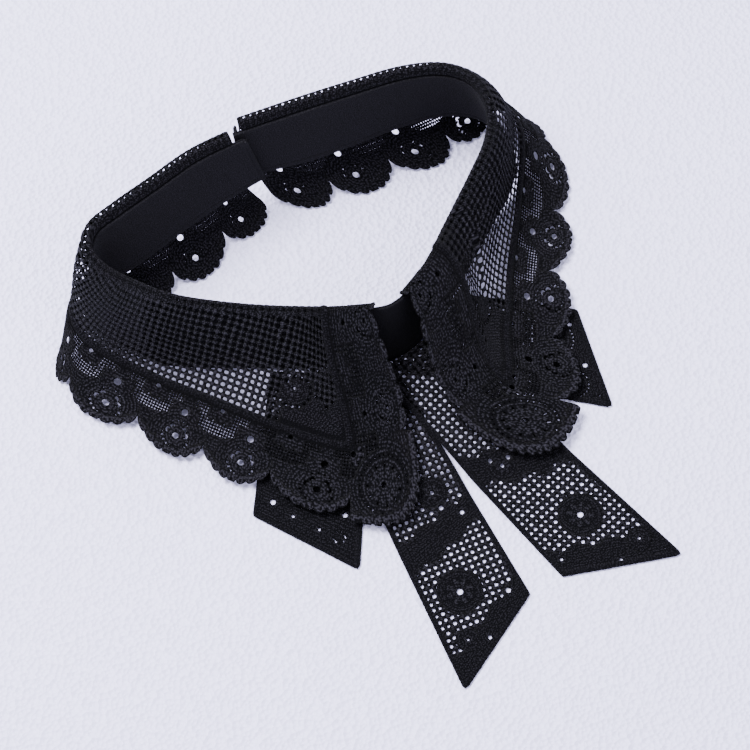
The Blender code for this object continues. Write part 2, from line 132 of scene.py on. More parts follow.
RIGHT_FALL = np.array([
    (28.0, 14.6, 91.6, 21.0, 18.6, 73.5, 0.9, 0.5, 2.5),
    (27.0, 36.0, 82.3, 21.0, 38.2, 62.8, 0.9, 0.5, 2.5),
    (25.8, 58.0, 74.8, 20.5, 62.5, 56.0, 0.9, 0.5, 2.5),
    (24.5, 81.5, 69.0, 19.5, 86.5, 50.0, 0.9, 0.5, 2.5),
    (23.3, 102.0, 60.5, 17.0, 110.0, 53.0, 0.9, 0.8, 3.0),
    (22.0, 106.5, 41.0, 12.0, 116.4, 30.4, 1.2, 0.8, 2.0),
    (20.2, 86.8, 18.6, 6.5, 100.8, 3.0, 2.0, 0.5, 0.6),
    (19.0, 66.5, 0.0, 5.3, 83.2, -14.6, 3.2, 0.0, 0.6),
    (17.8, 47.5, -19.5, 5.3, 65.4, -37.2, 4.0, -0.5, 0.6),
    (16.5, 33.5, -34.4, 6.0, 48.3, -60.0, 5.0, -1.0, 0.6),
    (14.2, 10.0, -33.0, 7.8, 20.0, -72.5, 5.2, -0.6, 0.6),
])
FALLS = {"left": LEFT_FALL, "right": RIGHT_FALL}

# Ring places where the top is sewn on; end corner beside the first place, then the other;
# underside height at the top; shares of the length where it comes down to rest
RIBBONS = {
    "wing_left": (10.45, 12.45, (-69.7, -14.4), (-53.7, -55.6), 0.0, 0.40, 0.50),
    "wing_right": (12.6, 16.6, (58.2, -66.4), (74.7, -27.6), 0.0, 0.40, 0.50),
    "tail_left": (11.15, 12.95, (-54.7, -114.4), (-13.1, -101.6), 1.5, 0.44, 0.60),
    "tail_right": (12.3, 15.3, (0.0, -104.1), (38.9, -125.8), 3.0, 0.38, 0.58),
}

# %% [markdown]
# ## The surfaces
#
# A worn collar could be draped by a cloth simulation, but then its folds would fall where the
# solver likes. Here the photograph fixes where the turn, the cord and the scallops lie, so the
# surface is drawn through those lines instead: an arc over the band's top, then two Bezier curves
# that meet smoothly at the cord. The same function gives the solids their shape.


# %% Curves through the tables
def unit(v):
    """Vectors of length one, along the last axis."""
    return v / np.maximum(np.linalg.norm(v, axis=-1, keepdims=True), 1e-9)


def run_along(path):
    """Distance run from the first point of a path to each of its points."""
    return np.concatenate([[0.0], np.cumsum(np.linalg.norm(np.diff(path, axis=0), axis=1))])


def through(table, place):
    """Catmull-Rom curve through a table's rows: the row numbers are the parameter."""
    place = np.clip(np.asarray(place, float), 0.0, len(table) - 1.0)
    padded = np.vstack([2 * table[0] - table[1], table, 2 * table[-1] - table[-2]])
    first = np.minimum(place.astype(int), len(table) - 2)
    t = (place - first)[..., None]
    a, b, c, d = (padded[first + k] for k in range(4))
    return 0.5 * (2 * b + (c - a) * t + (2 * a - 5 * b + 4 * c - d) * t ** 2
                  + (3 * b - a - 3 * c + d) * t ** 3)


# %% Neck ring, band and falls
def ring_frame(place):
    """Crown, foot, outward and upward directions of the neck ring at ring places."""
    at = through(RING, place)
    crown, foot = at[..., :3], at[..., 3:6]
    along = (through(RING, place + 0.05) - through(RING, place - 0.05))[..., :3]
    along[..., 2] = 0.0
    along = unit(along)
    out = np.stack([along[..., 1], -along[..., 0], np.zeros_like(along[..., 0])], -1)
    return crown, foot, out, unit(crown - ROLL_RADIUS * out - foot)


def band_point(place, height, depth):
    """Point of the band: height 0 at the foot to 1 at the top, depth outward from mid wall."""
    crown, foot, out, up = ring_frame(place)
    top = crown - ROLL_RADIUS * out - (ROLL_RADIUS + ROLL_RISE + TOP_GAP) * up
    face = unit(np.cross(unit(np.cross(up, out)), up))
    face = face * np.sign(np.sum(face * out, -1, keepdims=True))
    height = height[..., None]
    return foot * (1 - height) + top * height + depth[..., None] * face


def bezier(a, b, c, d, t):
    """Cubic Bezier curve with control points a, b, c, d."""
    s = 1 - t
    return s ** 3 * a + 3 * s ** 2 * t * b + 3 * s * t ** 2 * c + t ** 3 * d


def fall_point(table, place, down):
    """Middle surface of a fall: place is the row along the hem, down is 0 at the top seam,
    1 at the end of the turn, 2 at the cord and 3 at the scallops' tips."""
    place, down = np.broadcast_arrays(np.asarray(place, float), np.asarray(down, float))
    row = through(table, place)
    crown, foot, out, up = ring_frame(row[..., 0])
    cord, tip = row[..., 1:4], row[..., 4:7]
    belly, curl = row[..., 7, None], row[..., 8, None]
    fall = cord - crown
    lean = np.arctan2(-np.sum(fall * up, -1), np.sum(fall * out, -1))
    last = (math.pi / 2 - lean)[..., None]
    centre = crown - ROLL_RADIUS * up
    rise_share = ROLL_RISE / (ROLL_RISE + ROLL_RADIUS * (math.pi - last))
    t = down[..., None]
    angle = math.pi - (math.pi - last) * np.clip((t - rise_share) / (1 - rise_share), 0, 1)
    turn = centre + ROLL_RADIUS * (np.cos(angle) * out + np.sin(angle) * up)
    turn = turn - ROLL_RISE * np.clip(1 - t / rise_share, 0, 1) * up
    start = centre + ROLL_RADIUS * (np.cos(last) * out + np.sin(last) * up)
    leave = np.sin(last) * out - np.cos(last) * up
    net_way, border_way = unit(cord - start), unit(tip - cord)
    seam_way = unit(net_way + border_way)
    net_long = np.linalg.norm(cord - start, axis=-1, keepdims=True)
    border_long = np.linalg.norm(tip - cord, axis=-1, keepdims=True)
    flat_way = unit(border_way * np.array([1.0, 1.0, 0.25]))
    bow = unit(up * np.sum(net_way * out, -1, keepdims=True)
               - out * np.sum(net_way * up, -1, keepdims=True))
    net = bezier(start, start + leave * net_long / 3 + bow * belly,
                 cord - seam_way * net_long / 3 + bow * belly, cord, np.clip(t - 1, 0, 1))
    border = bezier(cord, cord + seam_way * border_long / 3 + bow * curl,
                    tip - flat_way * border_long / 3, tip, np.clip(t - 2, 0, 1))
    return np.where(t < 1, turn, np.where(t < 2, net, border))


def grid_normals(points, flip=False):
    """Unit normals of a grid of points: the cross product of its two gradients."""
    along, across = np.gradient(points, axis=0), np.gradient(points, axis=1)
    normal = unit(np.cross(along, across))
    return -normal if flip else normal


cord_lengths = {side: np.linalg.norm(np.diff(table[:, 1:4], axis=0), axis=1)[:POINT_ROW].sum()
                for side, table in FALLS.items()}
print("hem cords, mm:", {side: round(float(v)) for side, v in cord_lengths.items()})

# %% [markdown]
# ## Cutting lace out of a sheet
#
# A pattern is a field of numbers on the sheet: above zero there is thread, below zero a hole, and
# near a hole's edge the number is the distance to it in millimetres. Holes could be a mask in the
# material, but then the lace has no thickness from the side. So the sheet is a fine grid of
# triangles, and each triangle that the zero line crosses is cut along it. Then the front and the
# back get their own height over the middle surface, and a rim closes every edge and hole.


# %% Cut a grid along a field's zero line
def cell_corners(rows, columns):
    """Point numbers at the four corners of each cell of a grid, in order round it."""
    number = np.arange(rows * columns).reshape(rows, columns)
    return number[:-1, :-1], number[1:, :-1], number[1:, 1:], number[:-1, 1:]


def cut_grid(field):
    """Triangles of a grid where the field is above zero, cut along its zero line.

    Each cell is two triangles. A corner inside stays, and an edge that crosses zero gets a point
    where the field, taken as straight along it, is zero, but not so near a corner that a sliver
    is left. Gives the triangles, and for each point the two grid corners that it lies between and
    its share of the way.
    """
    rows, columns = field.shape
    a, b, c, d = cell_corners(rows, columns)
    odd = (np.add.outer(np.arange(rows - 1), np.arange(columns - 1)) % 2 == 1)[..., None]
    first = np.where(odd, np.stack([a, b, d], -1), np.stack([a, b, c], -1))
    second = np.where(odd, np.stack([b, c, d], -1), np.stack([a, c, d], -1))
    triangles = np.concatenate([first.reshape(-1, 3), second.reshape(-1, 3)])
    value = field.ravel()
    inside = value[triangles] > 0
    count = inside.sum(1)

    def lone_first(chosen, lone):
        turn = (np.argmax(lone, 1)[:, None] + np.arange(3)) % 3
        return np.take_along_axis(chosen, turn, 1)

    one = lone_first(triangles[count == 1], inside[count == 1])
    two = lone_first(triangles[count == 2], ~inside[count == 2])
    pairs = np.concatenate([one[:, [0, 1]], one[:, [0, 2]], two[:, [0, 1]], two[:, [0, 2]]])
    pairs, place = np.unique(np.sort(pairs, 1), axis=0, return_inverse=True)
    place = place.reshape(-1) + rows * columns
    one_q, one_r, two_q, two_r = np.split(place, np.cumsum([len(one), len(one), len(two)]))
    faces = np.concatenate([triangles[count == 3], np.stack([one[:, 0], one_q, one_r], 1),
                            np.stack([two_q, two[:, 1], two[:, 2]], 1),
                            np.stack([two_q, two[:, 2], two_r], 1)])
    share = value[pairs[:, 0]] / (value[pairs[:, 0]] - value[pairs[:, 1]])
    ends = np.concatenate([np.repeat(np.arange(rows * columns)[:, None], 2, 1), pairs])
    share = np.concatenate([np.zeros(rows * columns), np.clip(share, 0.1, 0.9)])
    used, faces = np.unique(faces, return_inverse=True)
    return faces.reshape(-1, 3), ends[used], share[used]


def rim_edges(faces):
    """Directed edges that only one triangle has."""
    edges = np.concatenate([faces[:, [0, 1]], faces[:, [1, 2]], faces[:, [2, 0]]])
    many = int(faces.max()) + 1
    lone = ~np.isin(edges[:, 0] * many + edges[:, 1], edges[:, 1] * many + edges[:, 0])
    return edges[lone]


# %% Mesh with its flat cut
def mesh_object(name, points, faces, plan, raised, rows):
    """One object from points in millimetres and triangles. plan is the flat cut, in millimetres,
    kept as a UV map of decimetres; raised is how far the thread stands up, which the material
    paints as a lighter tone, a painted highlight, and rows the distance across its rows of
    stitches, both in millimetres."""
    mesh = bpy.data.meshes.new(name)
    mesh.vertices.add(len(points))
    mesh.vertices.foreach_set("co", ((points - CENTRE) * MM).astype(np.float32).ravel())
    mesh.loops.add(faces.size)
    mesh.loops.foreach_set("vertex_index", faces.astype(np.int32).ravel())
    mesh.polygons.add(len(faces))
    mesh.polygons.foreach_set("loop_start", np.arange(0, faces.size, 3, dtype=np.int32))
    mesh.update(calc_edges=True)
    cut = mesh.uv_layers.new(name="cut")
    cut.data.foreach_set("uv", (plan[faces.ravel()] / 100).astype(np.float32).ravel())
    for label, values in (("raised", raised), ("rows", rows)):
        held = mesh.attributes.new(label, "FLOAT", "POINT")
        held.data.foreach_set("value", values.astype(np.float32))
    mesh.validate()
    mesh.shade_smooth()
    thing = bpy.data.objects.new(name, mesh)
    bpy.context.scene.collection.objects.link(thing)
    return thing


# %% Closed sheet of lace
def bump(distance, width):
    """A round ridge: 1 on the line, falling as a circle's arc to 0 at the width."""
    return np.sqrt(np.clip(1 - (distance / width) ** 2, 0, 1))


ROUND = 0.35            # a thread rounds off over this width beside a hole
BACK = 0.22             # depth of a thread's back under the middle surface
# how far the thread counts as standing up where no pattern says it, in millimetres; it sets only the
# painted tone, and the back value is painted light that lightens the lace's shaded undersides
TONE_AND_PAINTED_LIGHT = {"back": 0.34, "tube": 0.30, "wall": 0.32}


def lace(name, points, normals, plan, pattern):
    """A closed sheet of lace. Its front rises by the relief and its back sinks. Both run out to
    nothing at each hole and edge, where they share their points, so a thread's section is round."""
    field, relief, rows = pattern
    faces, ends, share = cut_grid(field)
    share = share[:, None]

    def at(values):
        values = values.reshape(field.size, -1)
        return values[ends[:, 0]] * (1 - share) + values[ends[:, 1]] * share

    rim = np.zeros(len(ends), bool)
    rim[rim_edges(faces).ravel()] = True
    swell = np.where(rim[:, None], 0.0, bump(ROUND - np.minimum(at(field), ROUND), ROUND))
    middle, normal = at(points), unit(at(normals))
    corner = middle[faces]
    facing = np.cross(corner[:, 1] - corner[:, 0], corner[:, 2] - corner[:, 0])
    if np.sum(facing * normal[faces[:, 0]]) < 0:
        faces = faces[:, ::-1]
    height, inner = at(relief) * swell, ~rim
    twin = np.where(rim, np.arange(len(rim)), len(rim) + np.cumsum(inner) - 1)
    shell = np.concatenate([faces, twin[faces[:, ::-1]]])
    both = np.concatenate([middle + normal * height, (middle - normal * BACK * swell)[inner]])
    flat, across = at(plan), at(rows)[:, 0]
    # painted highlight on the front's raised threads, and a fixed painted light on the shaded back
    raised = np.concatenate([height[:, 0], np.full(inner.sum(), TONE_AND_PAINTED_LIGHT["back"])])
    return mesh_object(name, both, shell, np.concatenate([flat, flat[inner]]), raised,
                       np.concatenate([across, across[inner]]))


# %% [markdown]
# ## The net of the falls
#
# The net is woven: its holes lie in straight rows and columns that no drape can shear much. Laid
# out by section, the holes would crowd where the fall narrows towards its point. So each point of
# the surface gets its place in the flat cut: how far along the cord, and how far up from it,
# summed step by step over the surface. The holes are then drawn on the flat cut.


# %% Flat plan of a net
def flat_net(points):
    """Flat place of each point of a net whose last column lies on the cord.

    Each step up a section is split into its part along the cord and its part square to it; the
    sums of these are the change of place along the cord and the distance from it.
    """
    cord = points[:, -1]
    run = unit(np.gradient(cord, axis=0))[:, None]
    steps = -np.diff(points[:, ::-1], axis=1)
    forward = -np.sum(steps * run, -1)
    square = np.linalg.norm(steps + forward[..., None] * run, axis=-1)
    zero = np.zeros((len(points), 1))
    along = run_along(cord)[:, None] + np.concatenate([zero, np.cumsum(forward, 1)], 1)
    away = np.concatenate([zero, np.cumsum(square, 1)], 1)
    return np.stack([along[:, ::-1], away[:, ::-1]], -1)


# %% [markdown]
# ## The parts of a pattern
#
# All the lace here is drawn from a few parts: net, close stitches, round eyelets, rings of small
# holes and flowers. Each part gives the field, how far the thread stands up, and the distance
# across its rows of stitches; one part is laid over another inside a mask. Distances that are
# folded into one pitch or one sector repeat a part for nothing.

# %% Parts of a pattern
def fold(value, pitch):
    """Distance of a value from the nearest whole number of pitches, with its sign."""
    return (value + pitch / 2) % pitch - pitch / 2


def spokes(x, y, count, turn=0.0):
    """Polar place folded into one of a number of equal sectors: along its middle, and aside."""
    radius, angle = np.hypot(x, y), np.arctan2(y, x) - turn
    angle = fold(angle, 2 * math.pi / count)
    return radius * np.cos(angle), radius * np.sin(angle)


NET_PITCH = 2.55
NET_HOLE = 0.78         # half the width of a hole
FINE_PITCH = PITCH / 24 # the border's fine net
FINE_HOLE = 0.30
ROWS = 1.15             # width of two rows of stitches
THREAD = 0.20           # height of a plain thread over the middle surface
EYELET_RING = 0.22      # height of the ring about an eyelet over a plain thread


def square_net(x, y, pitch=NET_PITCH, half=NET_HOLE):
    """Square net: rounded square holes, low threads between them and a knot where they cross."""
    u, v = fold(x, pitch), fold(y, pitch)
    field = (np.abs(u) ** 3 + np.abs(v) ** 3) ** (1 / 3) - half
    edge = pitch / 2
    knot = bump(np.hypot(edge - np.abs(u), edge - np.abs(v)), 0.45 * pitch)
    return field, THREAD * 0.7 + 0.13 * pitch * knot, np.zeros_like(x)


def worked(rows, high=0.0):
    """Close stitches without a hole, in rows: the second of every two rows stands up a little."""
    return np.full_like(rows, 2.0), THREAD + 0.10 + high + 0.03 * np.cos(rows * 2 * math.pi / ROWS), rows


def lay_on(under, over, inside):
    """One pattern laid over another inside a mask."""
    return tuple(np.where(inside, b, a) for a, b in zip(under, over))


def eyelet(pattern, distance, radius):
    """Cuts a round eyelet with a raised ring about it into a pattern."""
    field, relief, rows = pattern
    high = THREAD + EYELET_RING * bump(distance - radius - 0.45, 0.55)
    return np.minimum(field, distance - radius), np.maximum(relief, high), rows


def circle_of_holes(pattern, x, y, reach, count, radius, first=0.0, last=1.0, stretch=1.0):
    """Cuts small holes at equal steps round a circle, from one share of it to another. stretch
    draws each of them out along its ray."""
    share = np.arctan2(y, x) / (2 * math.pi) % 1.0
    along, aside = spokes(x, y, count)
    holes = np.hypot((along - reach) / stretch, aside) - radius
    field = np.where((share >= first) & (share <= last), np.minimum(pattern[0], holes), pattern[0])
    return field, pattern[1], pattern[2]


def flower(x, y, size, petals=8, centre=0.16, open_slits=False):
    """A worked flower: a hole in a raised ring, round petals, a slit between them when open_slits is
    set, and a raised ring of stitches about them. size is its radius."""
    radius = np.hypot(x, y)
    along, aside = spokes(x, y, petals)
    between, off = spokes(x, y, petals, math.pi / petals)
    petal = bump(np.hypot((along - 0.52 * size) / (0.27 * size), aside / (0.15 * size)), 1.0)
    field, relief, rows = worked(radius)
    relief = THREAD - 0.04 + np.maximum(0.34 * petal, 0.20 * bump(radius - 0.92 * size, 0.10 * size))
    slit = np.hypot((between - 0.6 * size) / 2.2, off) - 0.045 * size
    if open_slits:
        field = np.minimum(field, slit)
    return eyelet((field, relief, rows), radius, centre * size)


# %% Net with its worked corner
CORNER_ROWS = {"left": 5.1, "right": 4.0}   # the net is stretched tight round these rows
TOP_NET = {"left": 7.0, "right": 17.0}      # the net's rows follow the crown this far from the seam
LOW_NET = {"left": 0.04, "right": -0.10}    # what half a hole loses near the hem
CORNER = 29.5           # how far the net's worked corner reaches from the fall's point
SPOT = (25.0, 14.5)     # middle of the flower in it
NET_CELL = 0.55         # step of the net's grid
NET_ROW = POINT_ROW - 0.03  # the net stops just short of the front cord
NET_DOWN = 1.985            # and of the hem's cord


def net_pattern(x, y, crown, drop, top_net, tight):
    """Square net, and a worked corner at the fall's point: x from the point along the hem's cord,
    y from that cord. Its outline goes round whole holes of the net and has a leaf that points
    away; a flower lies in its middle. Over the band's top, where the drop from the top seam is
    less than top_net, the net's rows follow the crown. tight draws the holes in."""
    uneven = 0.07 * np.sin(x * 1.7 + 2.0 * np.sin(y * 0.9)) + 0.06 * np.sin(y * 2.3 + x * 0.31)
    holes, threads, rows = square_net(x, y - NET_PITCH / 2)
    pattern = holes + uneven + tight, threads, rows
    field, relief, rows = square_net(crown, drop)
    turned = np.clip((8.5 - drop) / 2, 0, 1)
    shut = 0.34 * turned + 0.5 * np.clip((4.6 - drop) / 0.6, 0, 1)
    over_top = field + uneven + tight + shut, relief * (1 - 0.5 * turned) + 0.1 * turned, rows
    pattern = lay_on(pattern, over_top, drop < top_net)
    hole_x = x - fold(x, NET_PITCH)
    hole_y = y - fold(y - NET_PITCH / 2, NET_PITCH)
    radius, angle = np.hypot(hole_x, hole_y), np.degrees(np.arctan2(hole_y, hole_x))
    reach = CORNER + 4.0 * np.exp(-((angle - 25) / 8) ** 2) - 3.0 * np.exp(-((angle - 48) / 9) ** 2)
    spot_x, spot_y = x - SPOT[0], y - SPOT[1]
    spot = np.hypot(spot_x, spot_y)
    solid = worked(np.where(spot < 8.0, spot, np.hypot(x, y)))
    solid = lay_on(solid, flower(spot_x, spot_y, 5.0, centre=0.13), spot < 5.2)
    solid = circle_of_holes(solid, spot_x, spot_y, 7.0, 18, 0.6)
    open_part = (angle > 42) & (radius > 15) & (spot > 8.5)
    solid = lay_on(solid, (holes + 0.08, threads, rows), open_part)
    margin = (radius > reach - 3.2) & (spot > 8.5)
    solid = lay_on(solid, (holes + 0.30 + uneven, threads, rows), margin)
    field, relief, rows = lay_on(pattern, solid, radius < reach)
    beside = np.minimum(y, np.maximum(x, 0))
    return field, relief - np.where(radius < reach, GROOVE, 0) * bump(beside - 1.5, 1.0), rows


# %% Make the nets
def make_net(side):
    """Net panel of one fall, from the top seam over the turn to the cord."""
    places = np.linspace(0.0, NET_ROW, int(cord_lengths[side] / NET_CELL))
    downs = np.concatenate([np.linspace(0.0, 1.0, int(TURN_LONG / NET_CELL), endpoint=False),
                            np.linspace(1.0, NET_DOWN, int(40 / NET_CELL))])
    place, down = np.meshgrid(places, downs, indexing="ij")
    points = fall_point(FALLS[side], place, down)
    plan = flat_net(points)
    crown = np.broadcast_to(run_along(points[:, len(downs) // 8])[:, None], place.shape)
    step = np.linalg.norm(np.diff(points, axis=1), axis=-1)
    drop = np.concatenate([np.zeros((len(places), 1)), np.cumsum(step, 1)], 1)
    tight = 0.42 * np.clip(1.6 - np.abs(place - CORNER_ROWS[side]) / 0.6, 0, 1)
    tight = tight + LOW_NET[side] * np.clip((drop - 24) / 5, 0, 1)
    point = plan[-1, -1, 0]
    field, relief, rows = net_pattern(point - plan[..., 0], plan[..., 1], crown, drop, TOP_NET[side],
                                      tight)
    edge = np.minimum(np.minimum(place * PITCH, (NET_ROW - place) * 20),
                      np.minimum(down * 6, (NET_DOWN - down) * 30))
    field = np.where(edge < 0.7, np.maximum(field, 0.5), field)
    normals = grid_normals(points, flip=side == "left")
    return lace(f"net_{side}_lace", points, normals, plan, (field, relief, rows))


nets = {side: make_net(side) for side in FALLS}
print("net triangles:", {side: len(net.data.polygons) for side, net in nets.items()})

# %% [markdown]
# ## The scalloped border
#
# Each scallop repeats one drawing between its two notches: an eyelet near the cord, a flower in
# the middle with an arc of small holes outside it, a patch of fine net on either side, and a hem
# of close stitches cut into small lobes. The drawing is a function of the place along the cord
# and the distance from it, so all the scallops are cut in one go.


# %% Scallops and lobes
def lobes(phase, count=LOBES, depth=LOBE_DEPTH):
    """Small lobes along an edge: so many half rounds as the phase rises by one."""
    return depth * (bump(fold(phase * count - 0.5, 1.0), 0.51) - 0.75)


def scallop(phase):
    """Share of the border's width at a phase that rises by one for each scallop: a round arch
    from notch to notch, without its lobes."""
    arch = np.maximum(0.0, 1.0 - (2.0 * (phase % 1.0) - 1.0) ** 2) ** 0.8
    return NOTCH + (1.0 - NOTCH) * arch


# %% Drawings of a scallop and of the point
GREAT_PETALS = 11


def hem_of(pattern, lobe, edge):
    """Lays the hem on a pattern: close stitches inside the outline, and a shell in each lobe.
    lobe is the place along the edge from the nearest lobe's middle, in millimetres."""
    shell = np.hypot(lobe, edge - 1.2)
    hem = worked(np.where(edge < 2.4, shell * 1.3, edge), 0.06)
    high = hem[1] + 0.14 * bump(shell - 1.0, 0.5) - 0.12 * bump(edge - 3.0, 0.4)
    return lay_on(pattern, (hem[0], high, hem[2]), edge < 3.2)


def scallop_pattern(x, y, close=0.0, eye=1.2):
    """Drawing of one scallop: x from its middle along the cord, y away from the cord. An eyelet
    and a flower lie in its middle; fine net lies about each notch, with a leaf cut into it. close
    draws the small holes in, in millimetres, where the lace lies slack; eye is the eyelet's
    radius."""
    aside = PITCH / 2 - np.abs(x)
    fx, fy = x, y - 16.6
    radius = np.hypot(fx, fy)
    pattern = worked(np.where(radius < 10.5, radius, y))
    fine = square_net(x + PITCH / 2, y, FINE_PITCH, FINE_HOLE)
    fine = fine[0] + close, fine[1], fine[2]
    leaf = np.minimum(np.hypot(aside, (y - 3.2) / 1.5), np.hypot(aside - 3.6, (y - 4.4) / 1.3) + 0.9)
    patch = (y > 3.6) & (y < 11.2 - 0.03 * aside ** 2) & (aside < 7.4) & (leaf > 2.5)
    strip = (y > 1.8) & (y < 4.4) & (aside > 4.6) & (aside < 10.6)
    pattern = lay_on(pattern, fine, patch | strip)
    spot = worked(radius, 0.05)
    for turn in np.radians(37.0) * np.array([-2, -1, 1, 2]):
        px, py = 3.6 * math.sin(turn), -3.6 * math.cos(turn)
        disc = np.hypot(fx - px, fy - py)
        inner = np.hypot(fx - 0.86 * px, fy - 0.86 * py)
        opening = np.maximum(disc - 0.9, 0.66 - inner)
        high = np.where(inner < 0.7, THREAD + 0.3 * bump(inner, 0.7), spot[1])
        spot = np.minimum(spot[0], opening), high, spot[2]
    spot = circle_of_holes(spot, fx, fy, 5.0, 20, 0.34, 0.0, 0.50, 1.7)
    spot = circle_of_holes(spot, fx, fy, 5.6, 18, 0.30, 0.66, 0.84)
    spot = spot[0] + close, spot[1], spot[2]
    spot = eyelet(spot, np.hypot(fx, fy / 0.9), 0.95 * eye)
    pattern = lay_on(pattern, spot, radius < 6.6)
    pattern = eyelet(pattern, np.hypot(x, y - 7.6), eye)
    return eyelet(pattern, np.hypot(aside, (y - 2.3) * 1.3), 0.7 * eye)


def point_pattern(x, y):
    """Drawing of the big scallop at the fall's point: x past the front cord, y past the hem's.
    A leafed eyelet lies at the cords' corner and a great flower in the middle: long petals round
    a dark hole, a dotted ring, and an arc of fine net outside it."""
    cx, cy = x - 0.9, y - 2.9
    fx, fy = x - 11.0, y - 12.4
    near, radius = np.hypot(cx, cy), np.hypot(fx, fy)
    pattern = worked(np.where(radius < 12.5, radius, near))
    fine = square_net(x + 0.5, y, FINE_PITCH, FINE_HOLE)
    patch = ((y > 5.2) & (y < 10.5) & (x < 5.5)) | ((x > 5.5) & (x < 10.5) & (y < 5.5))
    pattern = lay_on(pattern, fine, patch & (radius > 7.8))
    pattern = lay_on(pattern, flower(cx, cy, 5.0, petals=9, open_slits=True), near < 4.2)
    along, aside = spokes(fx, fy, GREAT_PETALS)
    petal = bump(aside, 0.02 + 0.24 * np.maximum(along, 0)) * bump(along - 3.5, 2.9)
    ring = np.maximum(bump(radius - 7.0, 0.6), bump(radius - 9.4, 0.6))
    groove = bump(radius - 8.2, 0.5)
    great = worked(radius, -0.14)
    ripple = 0.06 * np.sin(7 * fx) * np.sin(6 * fy)
    high = np.where(radius < 6.4, 0.14 + 0.30 * petal, great[1] + 0.17 * ring - 0.05 * groove) + ripple
    great = circle_of_holes((great[0], high, great[2]), fx, fy, 8.2, 30, 0.30)
    between, off = spokes(fx, fy, GREAT_PETALS, math.pi / GREAT_PETALS)
    slit = np.hypot((between - 5.6) / 2.2, off) - 0.28
    great = eyelet((np.minimum(great[0], slit), great[1], great[2]), radius, 0.85)
    pattern = lay_on(pattern, great, radius < 10.2)
    return eyelet(pattern, near, 0.9)


# %% Outline of the border
SQUARE = 3.5            # power of the point's outline: 2 is round, and more is squarer
FRONT_LOBES = 5         # the front edge has fewer and deeper lobes than the hem
FRONT_DEPTH = 0.10


def border_outline(place, down):
    """Distance inside the border's free edge, the place along it from the nearest lobe's middle,
    and the distances from the two cords, in millimetres. Along the hem and the front it is the
    scallops' reach; at the point, rays from the cords' corner reach a rounded square with lobes."""
    past, below = place - POINT_ROW, down - 2.0
    hem = (scallop(place) + lobes(place) - below) * BORDER
    front = 1.0 + 0.45 * (scallop(-below) - 1.0) + lobes(-below, FRONT_LOBES, FRONT_DEPTH)
    front = (front - past) * BORDER
    ray = np.where(below >= past, past / np.maximum(below, 1e-6) / 2,
                   1 - below / np.maximum(past, 1e-6) / 2)
    out = (np.abs(past) ** SQUARE + np.abs(below) ** SQUARE) ** (1 / SQUARE)
    point = (1.0 + lobes(2 * ray) - out) * BORDER
    edge = np.where(past < 0, hem, np.where(below < 0, front, point))
    lobe = np.where((past >= 0) & (below < 0),
                    fold(-below * FRONT_LOBES - 0.5, 1.0) * FRONT_LONG / FRONT_LOBES * 0.7,
                    fold(np.where(past < 0, place, 2 * ray) * LOBES - 0.5, 1.0) * PITCH / LOBES * 1.1)
    return edge, lobe, past * BORDER, below * BORDER


# %% Make the borders
SKEW = {"left": 0.20, "right": -0.18}   # the drawing leans along the cord, in scallops
BACK_ROWS = {"left": 4.6, "right": 3.0} # behind these rows the lace lies slack


def make_border(side):
    """Scalloped border of one fall: along the hem, round the point and up the front edge.

    The grid is finest near the cord, with three steps to each hole of the fine net.
    """
    fine = FINE_PITCH / 3
    places = np.concatenate([np.linspace(0.0, POINT_ROW, POINT_ROW * 72, endpoint=False),
                             np.linspace(POINT_ROW, POINT_ROW + 1.0, 60)])
    downs = np.concatenate([np.linspace(0.0, 1.0, 13, endpoint=False),
                            np.linspace(1.0, 2.0, 62, endpoint=False),
                            2.0 + fine / BORDER * np.arange(2, 32),
                            np.linspace(2.0 + fine * 32 / BORDER, 3.0, 26)])
    place, down = np.meshgrid(places, downs, indexing="ij")
    points = fall_point(FALLS[side], place, down)
    edge, lobe, past, below = border_outline(place, down)
    rise = np.where(down > 1, (2 - down) * FRONT_LONG, FRONT_LONG + (1 - down) * TURN_LONG)
    lean = SKEW[side] * (1 - 0.6 * np.clip(below / 17, 0, 1))
    close = 0.26 * np.clip((BACK_ROWS[side] - place) / 0.6, 0, 1)
    hem = scallop_pattern(fold(place - 0.5 - lean, 1.0) * PITCH, below, close)
    point = point_pattern(past, below)
    front = scallop_pattern(fold(rise - 8.0, PITCH), past, close=0.06, eye=0.7)
    pattern = lay_on(lay_on(hem, point, past >= 0), front, (past >= 0) & (below < 0))
    field, relief, rows = hem_of(pattern, lobe, edge)
    relief = relief - GROOVE * bump(np.maximum(past, below) - 1.5, 1.0)
    outside = np.maximum(past - 0.5, below - 0.5)
    field = np.minimum(np.minimum(field, edge), outside)
    fall = np.minimum(down, 1) * TURN_LONG + np.clip(down - 1, 0, 1) * FRONT_LONG
    plan = np.stack([place * PITCH, fall + np.maximum(down - 2, 0) * BORDER], -1)
    normals = grid_normals(points, flip=side == "left")
    return lace(f"border_{side}_lace", points, normals, plan, (field, relief, rows))


borders = {side: make_border(side) for side in FALLS}
print("border triangles:", {side: len(b.data.polygons) for side, b in borders.items()})

# %% [markdown]
# ## The raised cord
#
# A plain band of close stitches covers the seam between net and border. A round tube would look
# like wire, so its section is a flattened oval, and a shallow wave along it stands for the
# stitches that lie across it.


